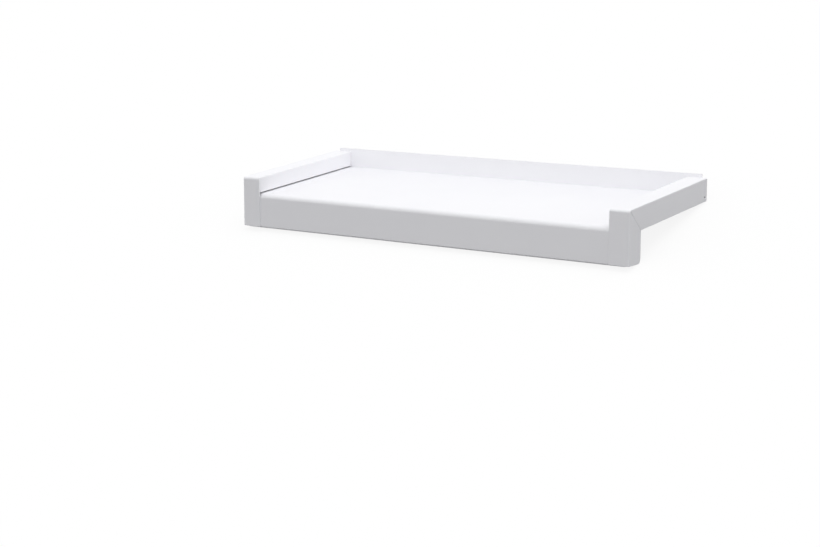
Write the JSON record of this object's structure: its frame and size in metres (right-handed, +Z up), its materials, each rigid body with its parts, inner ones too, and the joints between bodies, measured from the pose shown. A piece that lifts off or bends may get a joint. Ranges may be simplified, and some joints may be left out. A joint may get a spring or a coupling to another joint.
{
  "type": "window sill",
  "caption": "Folded white sheet-metal window sill with a rear upstand, a sloping plate and a drip nose, closed at each end by a folded channel cap with a mitred front corner.",
  "frame": {"origin": "middle of the bounding box, on the floor that the sill lies on unheld", "axes": "+X along the sill, to the right seen from the nose; +Y from the nose to the upstand; +Z up"},
  "size_m": [0.513, 0.1964, 0.0613],
  "materials": {
    "white_coat": "satin"
  },
  "bodies": {
    "root": {"sill_profile": "white_coat", "right_end_cap": "white_coat", "left_end_cap": "white_coat"}
  },
  "joints": []
}
